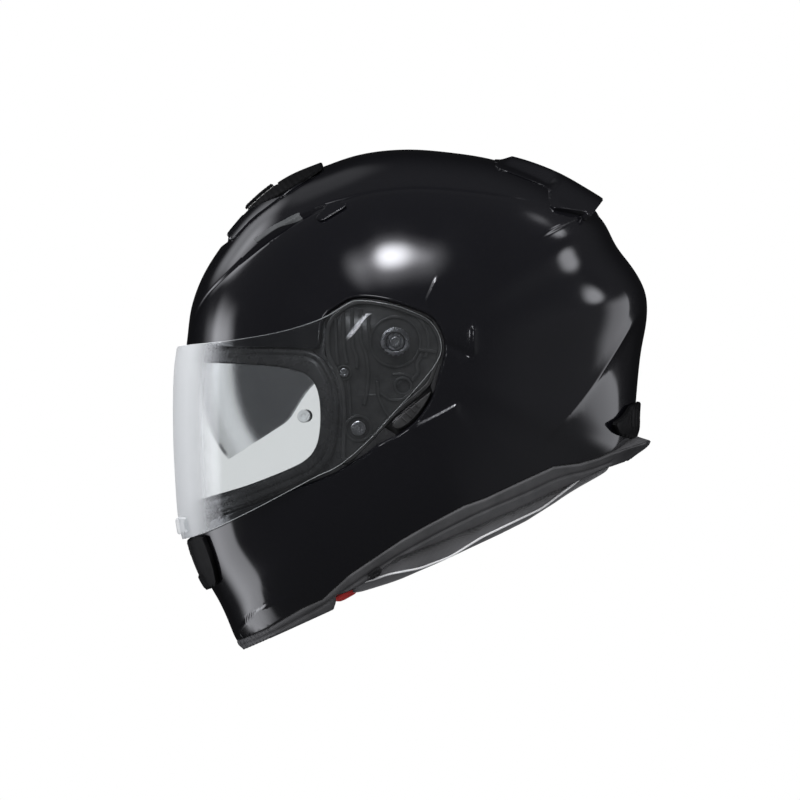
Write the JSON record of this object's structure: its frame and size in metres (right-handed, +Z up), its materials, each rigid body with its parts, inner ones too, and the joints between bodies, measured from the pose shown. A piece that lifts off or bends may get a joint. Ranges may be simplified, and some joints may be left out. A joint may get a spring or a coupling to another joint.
{
  "type": "motorcycle helmet",
  "caption": "Full-face motorcycle helmet: gloss black shell, clear hinged visor over a drop-down sun visor, vents, rear spoiler, rim trim, foam liner and pads, chin strap.",
  "frame": {"origin": "centre of the helmet's footprint on the surface that its chin rim and neck roll stand on", "axes": "+Z up, the helmet standing on a flat surface; the front (visor) looks along -Y, +Y is the rear, +X the rider's left"},
  "size_m": [0.258, 0.3541, 0.2759],
  "materials": {
    "shell": "gloss black lacquer over moulded composite",
    "vent_gloss": "gloss black moulded plastic",
    "vent_satin": "satin black moulded plastic",
    "rim": "matt dark grey rubber edging",
    "gasket": "satin black rubber",
    "eps": "expanded polystyrene bead foam, charcoal",
    "liner": "brushed wicking liner fabric over foam",
    "neck_cloth": "dark grey coated neck roll fabric",
    "mesh_cloth": "black woven nylon",
    "webbing": "black woven nylon webbing",
    "pull_red": "red woven webbing",
    "clear_visor": "clear hard-coated polycarbonate",
    "smoke_visor": "smoke tinted polycarbonate",
    "mechanism": "satin dark grey glass-filled nylon",
    "pin": "pale grey moulded pin",
    "steel": "zinc plated steel"
  },
  "bodies": {
    "helmet": {"outer_shell": "shell", "rim_trim": "rim", "neck_roll": "neck_cloth", "eyeport_gasket": "gasket", "eps_liner": "eps", "eps_chin": "eps", "crown_pad": "liner", "cheek_pad_left": "liner", "cheek_pad_right": "liner", "chin_curtain": "mesh_cloth", "breath_deflector": "gasket", "base_plate_left": "mechanism", "base_plate_right": "mechanism", "pivot_hub_left": "mechanism", "pivot_hub_right": "mechanism", "pivot_screw_left": "steel", "pivot_screw_right": "steel", "plate_screw_low_left": "steel", "plate_screw_low_right": "steel", "plate_screw_front_left": "steel", "plate_screw_front_right": "steel", "sun_pivot_left": "steel", "sun_pivot_right": "steel", "strap_rivet_left": "steel", "strap_rivet_right": "steel", "chin_strap_left": "webbing", "chin_strap_right": "webbing", "pull_tab_left": "pull_red", "pull_tab_right": "pull_red", "crown_vent_left": "vent_satin", "crown_vent_right": "vent_satin", "top_vent_cover": "vent_gloss", "rear_spoiler": "vent_gloss", "rear_exhaust": "vent_satin", "chin_vent_frame": "vent_satin"},
    "visor": {"visor": "clear_visor", "visor_gear_left": "mechanism", "visor_gear_right": "mechanism", "pinlock_pin_left": "pin", "pinlock_pin_right": "pin", "visor_lift_tab": "clear_visor"},
    "sun_visor": {"sun_visor": "smoke_visor"},
    "sun_slider": {"sun_visor_slider": "mechanism"},
    "release_left": {"release_slider_left": "mechanism"},
    "release_right": {"release_slider_right": "mechanism"},
    "top_vent": {"top_vent_slider": "vent_satin"},
    "chin_vent": {"chin_vent_shutter": "vent_satin"},
    "d_rings": {"d_ring_lower": "steel", "d_ring_upper": "steel"}
  },
  "joints": [
    {"name": "visor_hinge", "type": "hinge", "parent": "helmet", "child": "visor", "pos_m": [0, 0.00787, 0.14383], "axis": [-1, 0, 0], "range_deg": [0, 48]},
    {"name": "sun_visor_hinge", "type": "hinge", "parent": "helmet", "child": "sun_visor", "pos_m": [0, -0.01102, 0.13639], "axis": [-1, 0, 0], "range_deg": [0, 46]},
    {"name": "sun_slider_slide", "type": "slide", "parent": "helmet", "child": "sun_slider", "axis": [0.2069, 0.9703, 0.1252], "range_m": [0, 0.016]},
    {"name": "release_slide_left", "type": "slide", "parent": "helmet", "child": "release_left", "axis": [0, -0.9667, -0.256], "range_m": [0, 0.0025], "stiffness_N_per_m": 400},
    {"name": "release_slide_right", "type": "slide", "parent": "helmet", "child": "release_right", "axis": [0, -0.9667, -0.256], "range_m": [0, 0.0025], "stiffness_N_per_m": 400},
    {"name": "top_vent_slide", "type": "slide", "parent": "helmet", "child": "top_vent", "axis": [0, 0.9874, 0.1583], "range_m": [0, 0.008]},
    {"name": "chin_vent_slide", "type": "slide", "parent": "helmet", "child": "chin_vent", "axis": [0, -0.1283, -0.9917], "range_m": [0, 0.006]},
    {"name": "d_ring_swing", "type": "hinge", "parent": "helmet", "child": "d_rings", "pos_m": [0.0335, -0.0152, 0.008], "axis": [0, 1, 0], "range_deg": [0, 70]}
  ],
  "couplings": [
    {"joint": "sun_slider_slide", "follows": "sun_visor_hinge", "m_per_rad": 0.019909}
  ]
}
